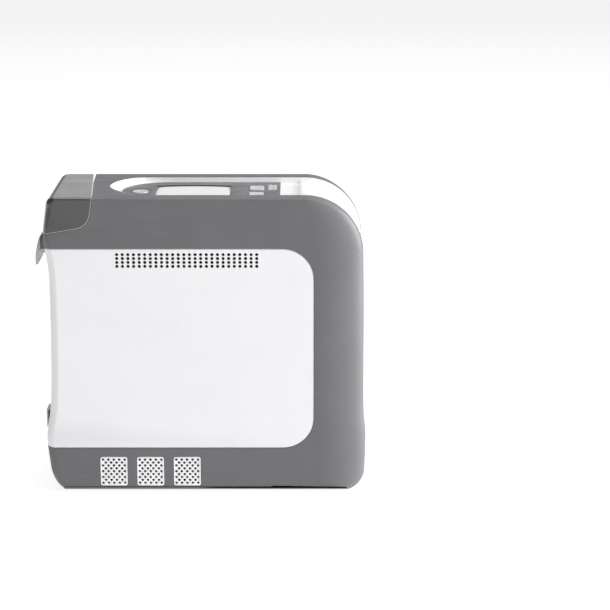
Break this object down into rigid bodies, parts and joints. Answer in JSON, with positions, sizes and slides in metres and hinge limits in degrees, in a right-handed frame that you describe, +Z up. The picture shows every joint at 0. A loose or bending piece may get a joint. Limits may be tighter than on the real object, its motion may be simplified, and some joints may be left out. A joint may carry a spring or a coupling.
{
  "type": "portable oxygen concentrator",
  "caption": "Slim upright oxygen concentrator with grey shells, white side panels, controls in a recessed spine, a lift-out battery at one end and a hose barb at the other.",
  "frame": {"origin": "on the ground under the middle of the object's box", "axes": "+Z up, +X along the broad side away from the battery, -Y out of the broad side that has the vent and the exhaust grilles"},
  "size_m": [0.2308, 0.091, 0.21],
  "materials": {
    "shell_grey": "fine texture",
    "panel_white": "satin",
    "tray_white": "satin",
    "control_grey": "satin membrane",
    "display": "clear window over a pale display",
    "key_grey": "satin",
    "lens": "translucent",
    "smoke": "smoked, glossy",
    "lever_grey": "satin",
    "rubber_black": "matte",
    "cover_grey": "matte",
    "black_plastic": "fine texture",
    "board_green": "solder mask",
    "cell_wrap": "shrink wrap",
    "steel": "brushed",
    "copper": "plated",
    "aluminium": "satin",
    "foam": "open-cell foam",
    "hose_clear": "milky silicone"
  },
  "bodies": {
    "housing": {"front_shell": "shell_grey", "back_shell": "shell_grey", "front_panel": "panel_white", "back_panel": "panel_white", "intake_filter": "foam", "exhaust_grille_1": "panel_white", "exhaust_grille_2": "panel_white", "exhaust_grille_3": "panel_white", "foot_1": "rubber_black", "foot_2": "rubber_black", "foot_3": "rubber_black", "foot_4": "rubber_black", "shell_screw_1": "steel", "shell_screw_2": "steel", "spine_tray": "tray_white", "control_panel": "control_grey", "lcd_window": "display", "indicator_lens": "lens", "display_board": "board_green", "battery_bay": "black_plastic", "bay_connector": "copper", "lever_pin": "steel", "lever_spring": "steel", "dc_jack": "black_plastic", "chassis": "aluminium", "main_board": "board_green", "sieve_bed_1": "aluminium", "sieve_bed_2": "aluminium", "sieve_manifold": "black_plastic", "valve_block": "aluminium", "solenoid_1": "steel", "solenoid_2": "steel", "product_tank": "aluminium", "crankcase": "aluminium", "cylinder_head_1": "aluminium", "cylinder_head_2": "aluminium", "motor_stator": "steel", "pump_mount_1": "rubber_black", "pump_mount_2": "rubber_black", "intake_silencer": "black_plastic", "pulse_valve": "steel", "outlet_filter": "hose_clear", "oxygen_outlet": "steel", "feed_hose": "hose_clear", "intake_hose": "hose_clear", "product_hose": "hose_clear", "fan_frame": "black_plastic"},
    "battery": {"battery_head": "smoke", "battery_case": "black_plastic", "battery_cells": "cell_wrap", "battery_contacts": "copper"},
    "release_lever": {"release_lever": "lever_grey"},
    "power_button": {"power_button": "key_grey"},
    "increase_button": {"increase_button": "key_grey"},
    "decrease_button": {"decrease_button": "key_grey"},
    "jack_cover": {"jack_cover": "cover_grey"},
    "filter_cover": {"filter_cover": "panel_white"},
    "fan_rotor": {"fan_rotor": "black_plastic"},
    "motor_shaft": {"motor_shaft": "steel"},
    "piston_yoke": {"piston_yoke": "steel"}
  },
  "joints": [
    {"name": "battery_slide", "type": "slide", "parent": "housing", "child": "battery", "axis": [0, 0, 1], "range_m": [0, 0.14]},
    {"name": "release_lever_pivot", "type": "hinge", "parent": "housing", "child": "release_lever", "pos_m": [-0.1026, 0, 0.167], "axis": [0, -1, 0], "range_deg": [0, 12], "stiffness_Nm_per_rad": 0.05, "springref_deg": -17.19},
    {"name": "power_press", "type": "slide", "parent": "housing", "child": "power_button", "axis": [0, 0, -1], "range_m": [0, 0.0006], "stiffness_N_per_m": 500, "springref_m": -0.001},
    {"name": "increase_press", "type": "slide", "parent": "housing", "child": "increase_button", "axis": [0, 0, -1], "range_m": [0, 0.0006], "stiffness_N_per_m": 500, "springref_m": -0.001},
    {"name": "decrease_press", "type": "slide", "parent": "housing", "child": "decrease_button", "axis": [0, 0, -1], "range_m": [0, 0.0006], "stiffness_N_per_m": 500, "springref_m": -0.001},
    {"name": "jack_cover_hinge", "type": "hinge", "parent": "housing", "child": "jack_cover", "pos_m": [-0.1053, -0.021, 0.0544], "axis": [0, 1, 0], "range_deg": [0, 75]},
    {"name": "filter_cover_pull", "type": "slide", "parent": "housing", "child": "filter_cover", "axis": [0, 1, 0], "range_m": [0, 0.02]},
    {"name": "fan_spin", "type": "hinge", "parent": "housing", "child": "fan_rotor", "pos_m": [-0.0352, 0, 0.038], "axis": [0, 0, 1], "continuous": true},
    {"name": "pump_spin", "type": "hinge", "parent": "housing", "child": "motor_shaft", "pos_m": [0.0588, 0.01, 0.047], "axis": [0, 1, 0], "continuous": true},
    {"name": "piston_slide", "type": "slide", "parent": "housing", "child": "piston_yoke", "axis": [1, 0, 0], "range_m": [-0.003, 0.003]}
  ]
}
